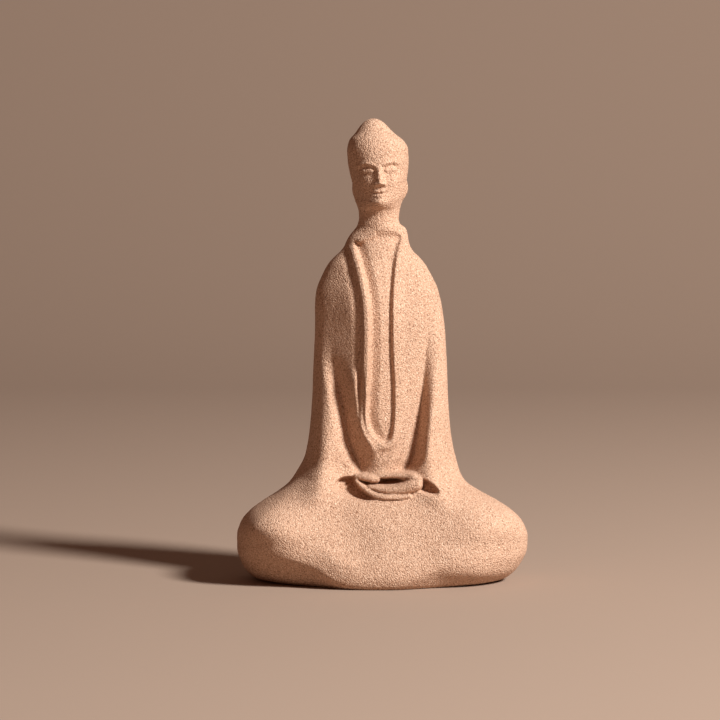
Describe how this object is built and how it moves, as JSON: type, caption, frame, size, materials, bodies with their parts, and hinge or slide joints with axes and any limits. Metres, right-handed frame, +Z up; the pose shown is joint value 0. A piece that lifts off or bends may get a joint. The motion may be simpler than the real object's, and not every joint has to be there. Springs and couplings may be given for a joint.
{
  "type": "seated buddha figurine",
  "caption": "Small press-moulded clay figurine of a seated, robed buddha in meditation, with hands joined in the lap and a flat underside.",
  "frame": {"origin": "on the flat underside, under the middle of the figure", "axes": "+Z up towards the crown, the figure faces -Y, and its left hand is at +X"},
  "size_m": [0.0822, 0.0548, 0.1299],
  "materials": {
    "fired_clay": "coarse unglazed salmon clay, sandy and matt"
  },
  "bodies": {
    "root": {"figurine": "fired_clay"}
  },
  "joints": []
}
